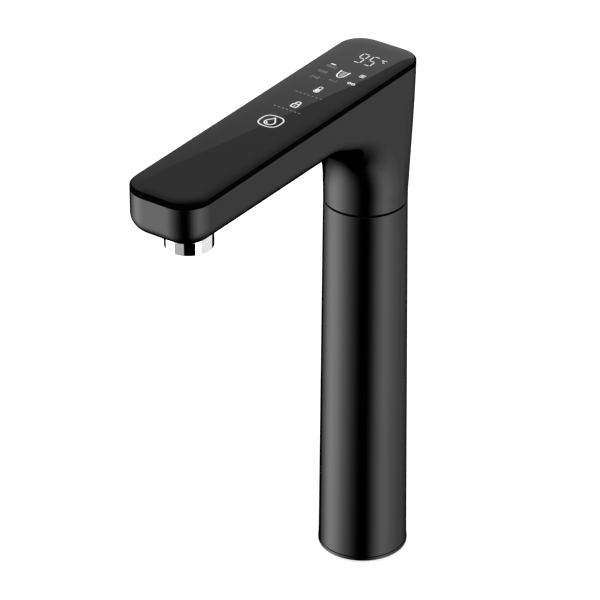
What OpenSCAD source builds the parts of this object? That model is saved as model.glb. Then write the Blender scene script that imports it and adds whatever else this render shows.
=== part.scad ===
// Counter-top hot water tap: a tapered column, a swivelling head with a long level arm,
// a touch glass over the whole top and a chrome outlet under the tip.
// Origin: centre of the base on the worktop, +Z up, the arm points along -Y. Millimetres.

/* [Base and column] */
// Step of the trim ring outside the column's foot
ring_step = 0.4; // [0.2:0.05:2]
// Height of the trim ring
ring_h = 2.2; // [1.8:0.1:4]
// Column diameter at its foot
column_base_d = 50; // [48:0.1:52]
// Column diameter at the swivel joint
column_top_d = 46.24; // [45.4:0.02:47.5]
// Length of the column tube
column_h = 220.4; // [120:0.1:320]
// Wall of the column tube
column_wall = 2.5; // [2:0.1:3]
// Height of the threaded foot in the column
foot_h = 20; // [16:0.5:30]
// Diameter of the shank thread in the foot
shank_d = 28; // [24:0.5:32]
// Depth of the shank thread from the worktop
shank_depth = 17; // [12:0.5:20]
// Depth of the sealing groove under the trim ring
gasket_t = 1.2; // [0.8:0.1:1.4]
// Width of the sealing groove under the trim ring
gasket_w = 3.4; // [2:0.1:4]

/* [Swivel] */
// Open height between column and head
joint_gap = 0.8; // [0.6:0.05:1.5]
// Wall of the bush between column and spigot
bush_wall = 6; // [5.6:0.05:7]
// Length of the spigot below the head
spigot_l = 31; // [26:0.5:45]
// Wall of the spigot
spigot_wall = 3.5; // [3:0.1:4]
// Thickness of the spigot's flange
flange_t = 8; // [7:0.1:10]
// Wall of the neck round the spigot's flange
neck_wall = 2.6; // [2.4:0.05:2.8]
// Length of the bush in the column
bush_l = 26.6; // [20:0.1:28]
// Diameter of the stop pin
stop_pin_d = 3; // [2.5:0.1:3.2]
// Distance from the spigot to the stop pin's axis
pin_offset = 2.8; // [2.6:0.05:3]
// Turn to either side of the middle, in degrees
swivel_half = 90; // [30:5:90]
// Thickness of the retaining clip
clip_t = 1.2; // [1:0.1:1.6]

/* [Head] */
// Step of the arm's flanks outside the neck's diameter
flank_step = 0.65; // [-0.2:0.01:1.2]
// Reach of the tip in front of the column axis
arm_reach = 189.3; // [150:0.1:230]
// Step of the head's back outside the neck's diameter
back_step = 0.06; // [-1.2:0.02:0.6]
// Height from the swivel joint to the arm's underside
neck_h = 56.1; // [50:0.1:90]
// Height of the arm's body at the neck, under the glass and its bezel
arm_h = 25.75; // [24.5:0.05:32]
// Rise of the underside for each millimetre towards the tip
arm_rise = 0.0093; // [0:0.0001:0.015]
// Corner radius at the tip in plan
tip_corner_r = 15.8; // [8:0.1:18]
// Corner radius at the back in plan
back_corner_r = 15; // [8:0.1:18]
// Rounding under the arm's long edges
edge_r = 10.5; // [6:0.1:11.5]
// Rounding under the tip
tip_edge_r = 11; // [6:0.1:11.5]
// Fillet between the neck and the underside
neck_fillet_r = 44; // [36:0.5:45]
// Wall of the head's flanks
head_wall = 2.6; // [2:0.1:3]
// Floor of the arm over its underside at the neck
arm_floor = 6; // [5.8:0.1:8]

/* [Glass] */
// Thickness of the glass
glass_t = 1.95; // [1.8:0.05:4]
// Width of the crowned edge
crown_w = 6; // [3:0.1:8]
// Drop of the crowned edge
crown_drop = 1.3; // [0.8:0.05:1.5]
// Height of the bezel that shows under the glass
bezel_h = 0.6; // [0.4:0.05:2.5]
// Step of the bezel in from the flanks
bezel_step = 0.35; // [0.2:0.05:0.6]
// Width of the bezel's rim under the glass
bezel_rim = 5; // [4.6:0.1:6]
// Depth of the bezel's lip inside the arm
lip_depth = 2.4; // [1.5:0.1:2.5]

/* [Outlet] */
// Distance from the tip back to the outlet's axis
outlet_setback = 29; // [28:0.1:60]
// Diameter of the chrome outlet collar
collar_d = 25.7; // [25:0.1:27]
// Length of the collar below the arm
collar_l = 12.8; // [8:0.1:18]
// Thread diameter of the outlet
outlet_thread_d = 23.8; // [23:0.1:24]
// Bore of the collar
collar_bore = 21; // [19:0.1:21.6]
// Diameter of one jet hole
jet_d = 1.5; // [1:0.1:1.8]
// Spacing of the jet holes
jet_pitch = 2.5; // [2.2:0.1:3]
// Outside diameter of the water tube in the head
tube_d = 8; // [6:0.1:8.4]
// Bore of the water tube in the head
tube_bore = 6; // [4:0.1:6]
// Outside diameter of the riser pipe in the column
riser_d = 10; // [9:0.1:10.5]
// Bore of the riser pipe
riser_bore = 8; // [6:0.1:8]

/* [Controls] */
// Gap between the control board and the arm's walls
board_gap = 2.6; // [2.4:0.1:4]
// Reach of the board in front of the column axis
board_front = 112; // [105:1:125]
// Reach of the board behind the column axis
board_back = 12; // [10:0.5:13]
// Thickness of the board
board_t = 1.6; // [1:0.1:2]
// Distance from one touch key to the next
key_pitch = 22; // [20:0.1:24]
// Distance from the column axis to the first touch key
first_key = 22.4; // [20:0.1:26]
// Diameter of a touch key's sensor pad
pad_d = 11; // [8:0.1:13]

/* [Hidden] */
$fn = 72;
fit = 0.03;
running = 0.05;
sliding = 0.3;
eps = 0.01;

// Heights of the column and the joint
column_top_z = ring_h + column_h;
head_z = column_top_z + joint_gap;
ring_d = column_base_d + 2 * ring_step;
seat_step = 0.38;
foot_seat_r = column_base_d / 2 - column_wall + seat_step;
bush_seat_r = column_top_d / 2 - column_wall + seat_step;
spigot_d = 2 * (bush_seat_r - bush_wall);
flange_d = column_top_d - 2 * neck_wall;
stop_pin_at = spigot_d / 2 + pin_offset;
foot_boss_wall = 2.4;
foot_boss_r = shank_d / 2 + foot_boss_wall;
foot_top_z = ring_h + foot_h;
foot_web_z = shank_depth;
bush_z = column_top_z - bush_l;
groove_r0 = (foot_boss_r + ring_d / 2 - gasket_w) / 2;

// Width and heights of the head
arm_w = column_top_d + 2 * flank_step;
half_w = arm_w / 2;
arm_back = column_top_d / 2 + back_step;
under_z = head_z + neck_h;
body_top_z = under_z + arm_h;
floor_z = under_z + arm_floor;
glass_z = body_top_z + bezel_h;
glass_top_z = glass_z + glass_t;
flange_top_z = head_z + flange_t;
shoulder_h = 8.6;
passage_r = spigot_d / 2;
neck_room_r = flange_d / 2 - 1.5;
pocket_inset = head_wall;
floor_step = 2.4;
floor_step_h = 5;

// The swivel's hub, clip and stop
spigot_z = head_z - spigot_l;
hub_r = tube_d / 2 + 3.2;
hub_rise = 12.6;
hub_top_z = flange_top_z + hub_rise;
tube_seat_z = hub_top_z - 4;
riser_top_z = tube_seat_z - 4;
riser_room = 0.3;
groove_depth = 1.2;
clip_top_z = bush_z - sliding;
clip_out_r = spigot_d / 2 + 2.5;
clip_mouth = 60;
ring_wire = 1.5;
ring_z = column_top_z - bush_l / 2;
seal_wire = 1.8;
seal_z = head_z + flange_t / 2;
slot_depth = 5;
pin_in_bush = 8.6;
screw_d = 3;
spigot_screw_d = 2.5;
spigot_screw_at = stop_pin_at;
spigot_head_d = 1.8 * spigot_screw_d;
spigot_head_h = spigot_screw_d;
spigot_screw_angles = [-145, -90, -35];
spigot_screw_l = flange_t + 6.6;

// The outlet in the arm
outlet_reach = arm_reach - outlet_setback;
outlet_y = -outlet_reach;
collar_seat_z = under_z + arm_rise * (outlet_reach - column_top_d / 2) + 0.25;
collar_z = collar_seat_z - collar_l;
thread_r = outlet_thread_d / 2;
socket_h = 6.4;
gasket_h = 2;
fitting_r = thread_r + 2.6;
chamber_r = 8;
chamber_z = floor_z + socket_h;
chamber_h = 5.6;
tube_z = chamber_z + chamber_h / 2;
boss_r = tube_d / 2 + 1.5;
fitting_top_z = tube_z + boss_r + 0.5;
boss_y = outlet_y + fitting_r + 4;
tube_end_y = boss_y - 4;
bend_r = 14;
ear_r = 3.6;
ear_head_d = 1.8 * screw_d;
ear_at = fitting_r + ear_head_d / 2 + 0.5;
ear_web = 6;
ear_t = 3;
ear_angles = [-135, -45];
ear_screw_l = ear_t + 3;
collar_lip = 1;
insert_h = 9;

// The board and what sits on it
board_z = tube_z + tube_d / 2 + 0.6;
board_top_z = board_z + board_t;
guide_top_z = glass_z - 0.2;
board_boss_r = 3;
board_screw_d = 2.5;
board_head_d = 1.8 * board_screw_d;
board_hole_edge = 3;
board_w = arm_w - 2 * (head_wall + board_gap);
board_hole_x = board_w / 2 - board_hole_edge;
board_hole_ys = [-neck_room_r - board_boss_r - 4, -board_front + 4];
display_size = [24, 19];
display_at = [2.2, -1];
guide_gap = 1.25;
guide_size = [2 * (board_hole_x - guide_gap) - board_head_d, 84];
guide_y = -first_key - 1.5 * key_pitch;
buzzer_d = 9;
buzzer_h = 4.6;
under_board_x = board_w / 2 - 7;
buzzer_at = [under_board_x, -75];
lead_socket_size = [8, 10, 4.6];
lead_socket_at = [-under_board_x, -10];
key_count = 4;

// One rounded corner of the plan: points of a quarter circle with their outward normals
function corner_pts(c, r, from, steps) =
    [for (i = [0 : steps]) let (a = from + 90 * i / steps)
        [c[0] + r * cos(a), c[1] + r * sin(a), cos(a), sin(a)]];

// One straight end of the plan
function end_pts(y, from, to, steps) =
    [for (i = [1 : steps]) [from + (to - from) * i / (steps + 1), y, 0, sign(y)]];

// The straight flank of the plan, closer stations near the column
function flank_pts(x, from, to, steps) =
    [for (i = [1 : steps]) let (t = i / (steps + 1)) [x, from + (to - from) * pow(t, 1.7), sign(x), 0]];

function reversed(v) = [for (i = [len(v) - 1 : -1 : 0]) v[i]];

corner_steps = 8;
end_steps = 3;
flank_steps = 20;
back_x = half_w - back_corner_r;
back_corner_y = arm_back - back_corner_r;
tip_x = half_w - tip_corner_r;
tip_corner_y = tip_corner_r - arm_reach;
left_flank = flank_pts(-half_w, back_corner_y, tip_corner_y, flank_steps);
right_flank = flank_pts(half_w, back_corner_y, tip_corner_y, flank_steps);

// Plan of the head, anticlockwise: [x, y, normal x, normal y]
plan = concat(
    corner_pts([back_x, back_corner_y], back_corner_r, 0, corner_steps),
    end_pts(arm_back, back_x, -back_x, end_steps),
    corner_pts([-back_x, back_corner_y], back_corner_r, 90, corner_steps),
    left_flank,
    corner_pts([-tip_x, tip_corner_y], tip_corner_r, 180, corner_steps),
    end_pts(-arm_reach, -tip_x, tip_x, end_steps),
    corner_pts([tip_x, tip_corner_y], tip_corner_r, 270, corner_steps),
    reversed(right_flank));

function inset_plan(d) = [for (p = plan) [p[0] - d * p[2], p[1] - d * p[3]]];
function inset_ring(d, z) = [for (p = plan) [p[0] - d * p[2], p[1] - d * p[3], z]];

function ease(t) = let (u = min(max(t, 0), 1)) u * u * (3 - 2 * u);

// The head's outer skin: each point of the plan has its own profile, in the upright plane through the
// column axis. In front a quarter circle, the fillet, leads from the neck's front into the level underside.
// Across it a round corner leads up to each flank. The corner's radius is the neck's own at the fillet's
// foot and eases to the edge's radius under the arm, so the neck's round turns into the arm's edges. Behind
// the axis the profile leans out from the round neck to the plan.
neck_r = column_top_d / 2;
flare_start = 4;
flare_z = head_z + flare_start;
fillet_z = under_z - neck_fillet_r;
fillet_y = -neck_r - neck_fillet_r;
corner_end = 68;
corner_pow = 1.6;
fillet_share = 0.72;
edge_share = 0.9;
least_slant = 0.1;
side_blend = 6;
lean_bow = 0.25;
bend_rounds = 24;
wall_steps = 4;
bend_steps = 8;
edge_steps = 8;
side_steps = 4;
rest_steps = bend_steps + edge_steps + 1;

// Distance of a point under the arm from the plan's edge
function edge_gap(x, y) =
    let (side = abs(x) - half_w + tip_corner_r)
    let (ahead = -y - arm_reach + tip_corner_r)
    max(tip_corner_r - norm([max(side, 0), max(ahead, 0)]) - min(max(side, ahead), 0), 0);

function corner_r(angle, r_edge) =
    half_w + (r_edge - half_w) * ease(pow(min(angle / corner_end, 1), corner_pow));
function corner_lift(gap, r) = let (s = max(r - gap, 0)) r - sqrt(max(r * r - s * s, 0));

// Angle along the fillet for a point's y, found by halving the step to the angle its corner asks for
function bend_angle(y, gap, r_edge, angle = 0, rounds = bend_rounds) =
    rounds <= 0 ? angle :
    let (reach = neck_fillet_r + corner_lift(gap, corner_r(angle, r_edge)))
    let (next = acos(min(max((y - fillet_y) / reach, 0), 1)))
    bend_angle(y, gap, r_edge, (angle + next) / 2, rounds - 1);

// Height of the skin over a point between the neck and the plan
function under_at(x, y, r_edge) =
    let (gap = edge_gap(x, y))
    let (angle = bend_angle(y, gap, r_edge))
    let (reach = neck_fillet_r + corner_lift(gap, corner_r(angle, r_edge)))
    let (ahead = max(y - fillet_y, 0))
    fillet_z + sqrt(max(reach * reach - ahead * ahead, 0))
        + arm_rise * max(-y - neck_r, 0) * ease(angle / 90);

wall_zs = [for (k = [0 : wall_steps]) head_z + (fillet_z - head_z) * k / wall_steps];
side_z = under_at(half_w, -eps, edge_r);

function front_profile(p) =
    let (r = norm([p[0], p[1]]))
    let (dir = [p[0], p[1]] / r)
    let (along = dir[1] * flank_step)
    let (foot = min(along + sqrt(along * along - flank_step * flank_step + half_w * half_w), r - eps))
    let (at_tip = pow(max(-p[3], 0), 2))
    let (r_edge = edge_r * (1 - at_tip) + tip_edge_r * at_tip)
    let (inner = min(neck_fillet_r, fillet_share * (r - foot)))
    let (slant = max(dir * [p[2], p[3]], least_slant))
    let (outer = min(r_edge / slant, edge_share * (r - foot - inner)))
    let (rs = concat(
        [for (k = [1 : bend_steps]) foot + inner * (1 - cos(90 * k / bend_steps))],
        [for (k = [0 : edge_steps]) r - outer * (1 - sin(90 * k / edge_steps))]))
    let (zs = [for (d = rs) under_at(d * dir[0], d * dir[1], r_edge)])
    let (edge_z = zs[rest_steps - 1])
    concat(
        [for (z = wall_zs) concat(dir * (neck_r + (foot - neck_r) * wall_lean(z)), z)],
        [for (k = [0 : rest_steps - 1]) concat(dir * rs[k], zs[k])],
        [for (k = [1 : side_steps]) [p[0], p[1], edge_z + (body_top_z - edge_z) * k / side_steps]]);

function wall_lean(z) = ease((z - flare_z) / (fillet_z - flare_z));

function back_profile(p) =
    let (r = norm([p[0], p[1]]))
    let (dir = [p[0], p[1]] / r)
    let (behind = ease(p[1] / side_blend))
    let (zs = concat(wall_zs,
        [for (k = [1 : rest_steps]) fillet_z + (side_z - fillet_z) * k / rest_steps],
        [for (k = [1 : side_steps]) side_z + (body_top_z - side_z) * k / side_steps]))
    [for (z = zs)
        let (t = min(max((z - flare_z) / (body_top_z - flare_z), 0), 1))
        let (lean = t + lean_bow * (ease(t) - t))
        concat(dir * (neck_r + (r - neck_r) * (wall_lean(z) * (1 - behind) + lean * behind)), z)];

function head_rings() =
    let (profiles = [for (p = plan) p[1] < 0 ? front_profile(p) : back_profile(p)])
    [for (k = [0 : len(profiles[0]) - 1]) [for (c = profiles) c[k]]];

// Closed skin over rings of equal length round the column axis, with flat ends
module skin(rings) {
    n = len(rings[0]);
    last = len(rings) - 1;
    low_end = n * (last + 1);
    sides = [for (k = [0 : last - 1]) for (i = [0 : n - 1]) for (half = [0, 1])
        let (a = k * n + i, b = k * n + (i + 1) % n)
        half == 0 ? [a, a + n, b] : [b, a + n, b + n]];
    low_faces = [for (i = [0 : n - 1]) [low_end, i, (i + 1) % n]];
    high_faces = [for (i = [0 : n - 1]) [low_end + 1, last * n + (i + 1) % n, last * n + i]];
    ends = [[0, 0, rings[0][0][2]], [0, 0, rings[last][0][2]]];
    polyhedron(points = concat([for (r = rings) each r], ends),
        faces = concat(low_faces, sides, high_faces), convexity = 6);
}

module tube(r_out, r_in, h) {
    difference() {
        cylinder(r = r_out, h = h);
        translate([0, 0, -1]) cylinder(r = r_in, h = h + 2);
    }
}

module o_ring(r_mid, wire) {
    rotate_extrude() translate([r_mid, 0]) circle(d = wire, $fn = 32);
}

// Cap screw standing on z = 0 with its shank going down
module screw(d, l, head_d, head_h) {
    cylinder(d = head_d, h = head_h);
    translate([0, 0, -l]) cylinder(d = d, h = l + eps);
}

module base_ring() {
    edge = 0.4;
    color("dimgray") difference() {
        rotate_extrude() polygon([
            [foot_boss_r + fit, 0], [ring_d / 2, 0], [ring_d / 2, ring_h - edge],
            [ring_d / 2 - edge, ring_h], [foot_boss_r + fit, ring_h]]);
        translate([0, 0, -eps]) tube(groove_r0 + gasket_w, groove_r0, gasket_t + eps);
    }
}

module base_gasket() {
    color("black") tube(groove_r0 + gasket_w - fit, groove_r0 + fit, gasket_t - fit);
}

module column_tube() {
    edge = 0.3;
    color([0.16, 0.16, 0.17]) difference() {
        rotate_extrude() polygon([
            [0, ring_h], [column_base_d / 2 - edge, ring_h], [column_base_d / 2, ring_h + edge],
            [column_top_d / 2, column_top_z - edge], [column_top_d / 2 - edge, column_top_z],
            [0, column_top_z]]);
        translate([0, 0, foot_top_z - eps])
            cylinder(r1 = column_base_d / 2 - column_wall, r2 = column_top_d / 2 - column_wall,
                h = bush_z - foot_top_z + 2 * eps);
        translate([0, 0, ring_h - 1]) cylinder(r = foot_seat_r, h = foot_h + 1);
        translate([0, 0, bush_z]) cylinder(r = bush_seat_r, h = bush_l + 1);
    }
}

module foot_insert() {
    lead_way_r = 2.6;
    color("darkgoldenrod") difference() {
        union() {
            cylinder(r = foot_boss_r, h = ring_h + eps);
            translate([0, 0, ring_h]) cylinder(r = foot_seat_r - fit, h = foot_h);
        }
        translate([0, 0, -1]) cylinder(d = shank_d, h = shank_depth + 1);
        cylinder(d = riser_d + 2 * fit, h = foot_top_z + 1);
        for (side = [-1, 1])
            translate([side * (riser_d / 2 + 1.6 + lead_way_r), 0, 0])
                cylinder(r = lead_way_r, h = foot_top_z + 1);
    }
}

module riser_pipe() {
    color("silver") translate([0, 0, foot_web_z])
        tube(riser_d / 2, riser_bore / 2, riser_top_z - foot_web_z);
}

module swivel_bush() {
    color("ivory") difference() {
        translate([0, 0, bush_z]) tube(bush_seat_r - fit, spigot_d / 2 + running, bush_l);
        translate([0, stop_pin_at, column_top_z - pin_in_bush])
            cylinder(d = stop_pin_d, h = pin_in_bush + 1);
    }
}

module stop_pin() {
    color("silver") translate([0, stop_pin_at, column_top_z - pin_in_bush])
        cylinder(d = stop_pin_d, h = pin_in_bush + joint_gap + slot_depth - sliding);
}

module thrust_washer() {
    rim = 0.4;
    color("black") translate([0, 0, column_top_z])
        tube(column_top_d / 2 - rim, stop_pin_at + stop_pin_d / 2 + 0.7, joint_gap - running);
}

// Curved slot that the stop pin runs in, as wide as the turn it allows
module stop_slot() {
    width = stop_pin_d + 2 * sliding;
    turn = swivel_half + asin(sliding / stop_pin_at);
    rotate([0, 0, 90 - turn]) rotate_extrude(angle = 2 * turn)
        translate([stop_pin_at - width / 2, 0]) square([width, slot_depth + eps]);
    for (side = [-1, 1])
        rotate([0, 0, side * turn]) translate([0, stop_pin_at, 0]) cylinder(d = width, h = slot_depth + eps);
}

module at_spigot_screws() {
    for (a = spigot_screw_angles)
        translate([spigot_screw_at * cos(a), spigot_screw_at * sin(a), 0]) children();
}

module neck_spigot() {
    window = [hub_r + 0.6, spigot_d / 2 - spigot_wall - 0.5];
    color("silver") difference() {
        union() {
            translate([0, 0, spigot_z]) cylinder(d = spigot_d, h = spigot_l + eps);
            translate([0, 0, head_z]) cylinder(d = flange_d, h = flange_t);
            translate([0, 0, head_z]) cylinder(r = hub_r, h = hub_top_z - head_z);
        }
        translate([0, 0, spigot_z - 1]) cylinder(r = spigot_d / 2 - spigot_wall, h = spigot_l + 1);
        translate([0, 0, spigot_z])
            cylinder(r = riser_d / 2 + running, h = riser_top_z + riser_room - spigot_z);
        translate([0, 0, riser_top_z]) cylinder(d = tube_bore, h = hub_top_z);
        translate([0, 0, tube_seat_z]) cylinder(d = tube_d + 2 * fit, h = hub_top_z);
        translate([0, 0, seal_z - seal_wire / 2])
            cylinder(r = riser_d / 2 + 0.1 + seal_wire, h = seal_wire);
        translate([0, 0, ring_z - ring_wire / 2 - 0.1])
            tube(spigot_d / 2 + 1, spigot_d / 2 - ring_wire - 0.1, ring_wire + 0.2);
        translate([0, 0, clip_top_z - clip_t]) tube(spigot_d / 2 + 1, spigot_d / 2 - groove_depth, clip_t);
        translate([0, 0, head_z - eps]) stop_slot();
        for (a = [30, 150, 270])
            rotate([0, 0, a - 40]) rotate_extrude(angle = 80)
                translate([window[0], head_z - eps]) square([window[1] - window[0], flange_t + 1]);
        translate([0, 0, head_z - eps]) at_spigot_screws() {
            cylinder(d = spigot_screw_d + 2 * fit, h = flange_t + 1);
            cylinder(d = spigot_head_d + 2 * fit, h = spigot_head_h + eps);
        }
    }
}

module spigot_ring() {
    color("black") translate([0, 0, ring_z]) o_ring(spigot_d / 2 - ring_wire / 2 - 0.05, ring_wire);
}

module riser_seal() {
    color("black") translate([0, 0, seal_z]) o_ring(riser_d / 2 + 0.1 + seal_wire / 2, seal_wire - 0.02);
}

module retaining_clip() {
    color("silver") translate([0, 0, clip_top_z - clip_t]) rotate([0, 0, 90 + clip_mouth / 2])
        rotate_extrude(angle = 360 - clip_mouth)
            translate([spigot_d / 2 - groove_depth + fit, fit])
                square([clip_out_r - spigot_d / 2 + groove_depth, clip_t - 2 * fit]);
}

module spigot_screws() {
    color("silver") at_spigot_screws()
        translate([0, 0, head_z + spigot_head_h]) mirror([0, 0, 1])
            screw(spigot_screw_d, spigot_screw_l - spigot_head_h, spigot_head_d, spigot_head_h);
}

module at_board_screws() {
    for (side = [-1, 1])
        for (y = board_hole_ys)
            translate([side * board_hole_x, y, 0]) children();
}

module at_ears() {
    for (a = ear_angles)
        translate([ear_at * cos(a), outlet_y + ear_at * sin(a), 0]) children();
}

module head_shell() {
    color([0.16, 0.16, 0.17]) union() {
        difference() {
            skin(head_rings());
            translate([0, 0, floor_z]) linear_extrude(arm_h) polygon(inset_plan(pocket_inset + floor_step));
            translate([0, 0, floor_z + floor_step_h]) linear_extrude(arm_h) polygon(inset_plan(pocket_inset));
            translate([0, 0, head_z - 1]) cylinder(d = flange_d + 2 * fit, h = flange_t + 1);
            translate([0, 0, head_z]) cylinder(r = passage_r, h = neck_h);
            translate([0, 0, flange_top_z + shoulder_h])
                cylinder(r = neck_room_r, h = neck_h + arm_floor - flange_t - shoulder_h + eps);
            translate([0, 0, flange_top_z - eps]) at_spigot_screws()
                cylinder(d = spigot_screw_d + 2 * fit, h = spigot_screw_l - flange_t + eps);
            translate([0, outlet_y, under_z - 1]) cylinder(d = outlet_thread_d + 0.6, h = arm_floor + 2);
            translate([0, outlet_y, under_z - 1])
                cylinder(d = collar_d + 0.6, h = collar_seat_z - under_z + 1);
            translate([0, 0, floor_z + ear_t - ear_screw_l]) at_ears()
                cylinder(d = screw_d + 2 * fit, h = arm_floor);
        }
        board_posts();
    }
}

// Posts in the arm that carry the control board
module board_posts() {
    post_sink = 0.5;
    difference() {
        translate([0, 0, floor_z - post_sink]) at_board_screws()
            cylinder(r = board_boss_r, h = board_z - floor_z + post_sink);
        translate([0, 0, floor_z + 3]) at_board_screws() cylinder(d = board_screw_d + 2 * fit, h = board_z);
    }
}

// Stretch of water tube along -Y on z = 0
module straight_run(d, l) {
    rotate([90, 0, 0]) cylinder(d = d, h = l);
}

module tube_route(d, over) {
    translate([0, 0, tube_seat_z - over]) cylinder(d = d, h = tube_z - bend_r - tube_seat_z + over);
    translate([0, -bend_r, tube_z - bend_r]) rotate([90, 0, 90])
        rotate_extrude(angle = 90) translate([bend_r, 0]) circle(d = d);
    translate([0, -bend_r, tube_z]) straight_run(d, -bend_r - tube_end_y + over);
}

module water_tube() {
    color("whitesmoke") difference() {
        tube_route(tube_d, 0);
        tube_route(tube_bore, eps);
    }
}

module outlet_fitting() {
    color("darkgoldenrod") difference() {
        union() {
            translate([0, outlet_y, floor_z]) cylinder(r = fitting_r, h = fitting_top_z - floor_z);
            translate([0, boss_y, tube_z]) straight_run(2 * boss_r, boss_y - outlet_y);
            for (a = ear_angles)
                translate([0, outlet_y, floor_z]) rotate([0, 0, a])
                    translate([0, -ear_web / 2, 0]) cube([ear_at, ear_web, ear_t]);
            translate([0, 0, floor_z]) at_ears() cylinder(r = ear_r, h = ear_t);
        }
        translate([0, outlet_y, floor_z - 1]) cylinder(r = thread_r + fit, h = socket_h + 1);
        translate([0, outlet_y, chamber_z - eps]) cylinder(r = chamber_r, h = chamber_h);
        translate([0, boss_y + 1, tube_z]) straight_run(tube_d + 2 * fit, boss_y + 1 - tube_end_y);
        translate([0, boss_y + 1, tube_z]) straight_run(tube_bore, boss_y + 1 - outlet_y);
        translate([0, 0, floor_z - 1]) at_ears() cylinder(d = screw_d + 2 * fit, h = ear_t + 2);
    }
}

module outlet_screws() {
    color("silver") translate([0, 0, floor_z + ear_t]) at_ears()
        screw(screw_d, ear_screw_l, ear_head_d, screw_d * 0.6);
}

module aerator_collar() {
    edge = 0.5;
    thread_top = floor_z + socket_h - gasket_h;
    color("gainsboro") translate([0, outlet_y, 0]) rotate_extrude() polygon([
        [collar_bore / 2 - 1, collar_z], [collar_d / 2 - edge, collar_z], [collar_d / 2, collar_z + edge],
        [collar_d / 2, collar_seat_z], [thread_r, collar_seat_z], [thread_r, thread_top],
        [collar_bore / 2, thread_top], [collar_bore / 2, collar_z + collar_lip],
        [collar_bore / 2 - 1, collar_z + collar_lip]]);
}

module aerator_gasket() {
    color("black") translate([0, outlet_y, floor_z + socket_h - gasket_h])
        tube(thread_r - fit, collar_bore / 2 - 1.2, gasket_h);
}

// Flow straightener with jets on a triangular grid
module aerator_insert() {
    reach = collar_bore / 2 - 2;
    rows = floor(reach / jet_pitch) + 1;
    color("whitesmoke") difference() {
        translate([0, outlet_y, collar_z + collar_lip]) cylinder(r = collar_bore / 2 - fit, h = insert_h);
        for (i = [-rows : rows])
            for (j = [-rows : rows])
                let (at = [jet_pitch * (i + j / 2), jet_pitch * j * sqrt(3) / 2])
                if (norm(at) < reach)
                    translate([at[0], outlet_y + at[1], collar_z])
                        cylinder(d = jet_d, h = insert_h + 5, $fn = 24);
    }
}

module control_board() {
    chip = [9, 9, 1.4];
    color("darkgreen") difference() {
        union() {
            translate([-board_w / 2, -board_front, board_z])
                cube([board_w, board_front + board_back, board_t]);
            translate([-chip[0] - 5, -first_key - 1.6 * key_pitch, board_z - chip[2]])
                cube(chip + [0, 0, eps]);
        }
        translate([0, 0, board_z - 1]) at_board_screws()
            cylinder(d = board_screw_d + 2 * fit, h = board_t + 2);
    }
}

module board_screws() {
    color("silver") translate([0, 0, board_top_z]) at_board_screws()
        screw(board_screw_d, board_top_z - floor_z - 4, board_head_d, board_screw_d * 0.55);
}

module display_module() {
    color("black") translate([display_at[0], display_at[1], board_top_z])
        linear_extrude(guide_top_z - board_top_z) square(display_size, center = true);
}

module light_guide() {
    well = pad_d + 2 * sliding;
    color("white") translate([0, 0, board_top_z]) difference() {
        translate([0, guide_y, 0]) linear_extrude(guide_top_z - board_top_z)
            square(guide_size, center = true);
        for (k = [0 : key_count - 1])
            translate([0, -first_key - k * key_pitch, -1]) cylinder(d = well, h = glass_z - board_top_z + 2);
    }
}

module sensor_pads() {
    color("dimgray") for (k = [0 : key_count - 1])
        translate([0, -first_key - k * key_pitch, board_top_z])
            cylinder(d = pad_d, h = glass_z - board_top_z);
}

module buzzer() {
    color("black") translate([buzzer_at[0], buzzer_at[1], board_z - buzzer_h])
        tube(buzzer_d / 2, 1, buzzer_h);
}

module lead_socket() {
    wall = 1;
    size = lead_socket_size;
    corner = [lead_socket_at[0] - size[0] / 2, lead_socket_at[1] - size[1] / 2, board_z - size[2]];
    color("ivory") translate(corner) difference() {
        cube(size);
        translate([wall, wall, -1]) cube([size[0] - 2 * wall, size[1] - 2 * wall, size[2]]);
    }
}

module panel_bezel() {
    lip_wall = 1.4;
    color("black") difference() {
        union() {
            translate([0, 0, body_top_z]) linear_extrude(bezel_h) polygon(inset_plan(bezel_step));
            translate([0, 0, body_top_z - lip_depth]) linear_extrude(lip_depth + eps)
                polygon(inset_plan(pocket_inset + fit));
        }
        translate([0, 0, body_top_z - lip_depth - 1]) linear_extrude(lip_depth + bezel_h + 2)
            polygon(inset_plan(max(bezel_rim, pocket_inset + fit + lip_wall)));
    }
}

module glass_panel() {
    crown_steps = 6;
    crown = [for (i = [0 : crown_steps]) let (a = 90 * i / crown_steps)
        inset_ring(crown_w * (1 - cos(a)), glass_top_z - crown_drop * (1 - sin(a)))];
    color([0.05, 0.05, 0.06]) skin(concat([inset_ring(0, glass_z)], crown));
}

base_ring();
base_gasket();
column_tube();
foot_insert();
riser_pipe();
swivel_bush();
stop_pin();
thrust_washer();
neck_spigot();
spigot_ring();
riser_seal();
retaining_clip();
spigot_screws();
head_shell();
water_tube();
outlet_fitting();
outlet_screws();
aerator_collar();
aerator_gasket();
aerator_insert();
control_board();
board_screws();
display_module();
light_guide();
sensor_pads();
buzzer();
lead_socket();
panel_bezel();
glass_panel();
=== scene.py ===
import math

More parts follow.
